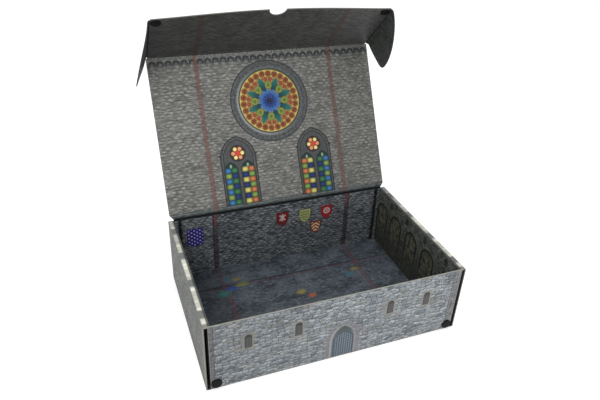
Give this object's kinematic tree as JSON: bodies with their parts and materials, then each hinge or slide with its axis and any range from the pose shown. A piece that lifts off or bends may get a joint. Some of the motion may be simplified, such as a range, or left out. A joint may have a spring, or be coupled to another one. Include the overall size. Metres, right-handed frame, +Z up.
{
  "type": "miniature carry case",
  "caption": "Folding printed-board carry case for tabletop miniatures: steel-lined tray, hinged lid with a tuck-in front flap, side ears and magnetic closure discs.",
  "frame": {"origin": "centre of the tray's underside, on the surface the case stands on", "axes": "+Z up, +X along the front wall to the right, +Y from the front wall to the hinged back wall"},
  "size_m": [0.4284, 0.3861, 0.4312],
  "materials": {
    "front_print": "printed board, blue-grey rubble wall with windows and a door, satin laminate",
    "outer_print": "printed board, grey stone wall, satin laminate",
    "battlement_print": "printed board, cream and grey blocks, satin laminate",
    "inner_print": "printed board, dark greenish stone with arched niches, satin laminate",
    "lid_print": "printed board, grey coursed stone with stained-glass windows, satin laminate",
    "ear_print": "printed board, dark stone, slightly curled, satin laminate",
    "plain_board": "dark board, folded edge",
    "floor_print": "printed sheet, slate flagstones with coloured light patches, satin",
    "back_print": "printed sheet, dark blue-grey stone with banner and shields, satin",
    "steel_sheet": "thin sheet under the print",
    "magnet": "plated disc magnet",
    "disc_plastic": "black domed plastic",
    "rivet": "black plastic rivet"
  },
  "bodies": {
    "tray": {"floor_panel": "plain_board", "floor_steel_sheet": "steel_sheet", "floor_print_sheet": "floor_print", "front_wall": "front_print", "back_wall": "outer_print", "back_steel_sheet": "steel_sheet", "back_print_sheet": "back_print", "side_outer_left": "outer_print", "side_top_strip_left": "battlement_print", "side_inner_left": "inner_print", "front_corner_flap_left": "plain_board", "rear_corner_flap_left": "plain_board", "corner_rivet_left": "rivet", "front_disc_cap_left": "disc_plastic", "front_disc_magnet_left": "magnet", "side_outer_right": "outer_print", "side_top_strip_right": "battlement_print", "side_inner_right": "inner_print", "front_corner_flap_right": "plain_board", "rear_corner_flap_right": "plain_board", "corner_rivet_right": "rivet", "front_disc_cap_right": "disc_plastic", "front_disc_magnet_right": "magnet"},
    "lid": {"lid_crease": "plain_board", "lid_panel": "lid_print"},
    "flap": {"flap_crease": "plain_board", "lid_flap": "lid_print", "ear_crease_left": "plain_board", "flap_disc_cap_left": "disc_plastic", "flap_disc_magnet_left": "magnet", "ear_crease_right": "plain_board", "flap_disc_cap_right": "disc_plastic", "flap_disc_magnet_right": "magnet"},
    "ear_left": {"ear_left": "ear_print"},
    "ear_right": {"ear_right": "ear_print"}
  },
  "joints": [
    {"name": "lid_hinge", "type": "hinge", "parent": "tray", "child": "lid", "pos_m": [0, 0.12925, 0.1172], "axis": [-1, 0, 0], "range_deg": [-118, 62], "deforming": ["ear_left", "ear_right"]},
    {"name": "flap_fold", "type": "hinge", "parent": "lid", "child": "flap", "pos_m": [0, 0.25345, 0.35078], "axis": [1, 0, 0], "range_deg": [-74.5, 15.5]},
    {"name": "ear_left_fold", "type": "hinge", "parent": "flap", "child": "ear_left", "pos_m": [-0.195, 0.25345, 0.35078], "axis": [0, -0.7254, 0.6884], "range_deg": [-68, 22]},
    {"name": "ear_right_fold", "type": "hinge", "parent": "flap", "child": "ear_right", "pos_m": [0.195, 0.25345, 0.35078], "axis": [0, 0.7254, -0.6884], "range_deg": [-76, 14]}
  ],
  "couplings": [
    {"joint": "ear_left_fold", "follows": "lid_hinge", "ratio": -0.18644},
    {"joint": "ear_right_fold", "follows": "lid_hinge", "ratio": -0.11864}
  ]
}
